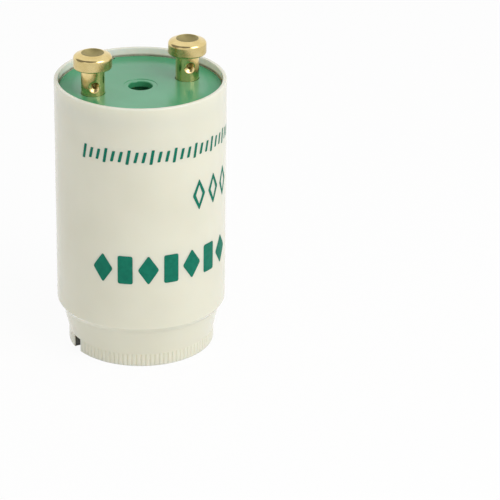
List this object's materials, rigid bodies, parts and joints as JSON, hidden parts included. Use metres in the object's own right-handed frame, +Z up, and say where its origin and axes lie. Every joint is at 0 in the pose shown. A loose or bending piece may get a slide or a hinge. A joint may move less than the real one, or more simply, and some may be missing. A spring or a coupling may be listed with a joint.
{
  "type": "fluorescent lamp starter",
  "caption": "Plug-in starter for a fluorescent tube: white moulded can on a ribbed, notched ring, green end disc with a vent hole and brass contact pins.",
  "frame": {"origin": "centre of the closed end's ring, in the plane that it stands on", "axes": "+Z up along the can towards the contact pins; the two pins lie on the X axis and the two notches 5 degrees from it"},
  "size_m": [0.0216, 0.0216, 0.0399],
  "materials": {
    "white_plastic": "smooth glossy moulding, slightly warm white",
    "green_plastic": "glossy",
    "brass": "bright turned",
    "glass": "clear",
    "nickel": "plain drawn",
    "bimetal": "plain rolled",
    "resin": "dipped"
  },
  "bodies": {
    "root": {"can": "white_plastic", "end_disc": "green_plastic", "contact_pin_left": "brass", "contact_pin_right": "brass", "bulb_envelope": "glass", "bulb_stem": "glass", "bimetal_strip": "bimetal", "fixed_electrode": "nickel", "lead_wire_left": "nickel", "lead_wire_right": "nickel", "capacitor": "resin", "capacitor_lead_left": "nickel", "capacitor_lead_right": "nickel"}
  },
  "joints": []
}
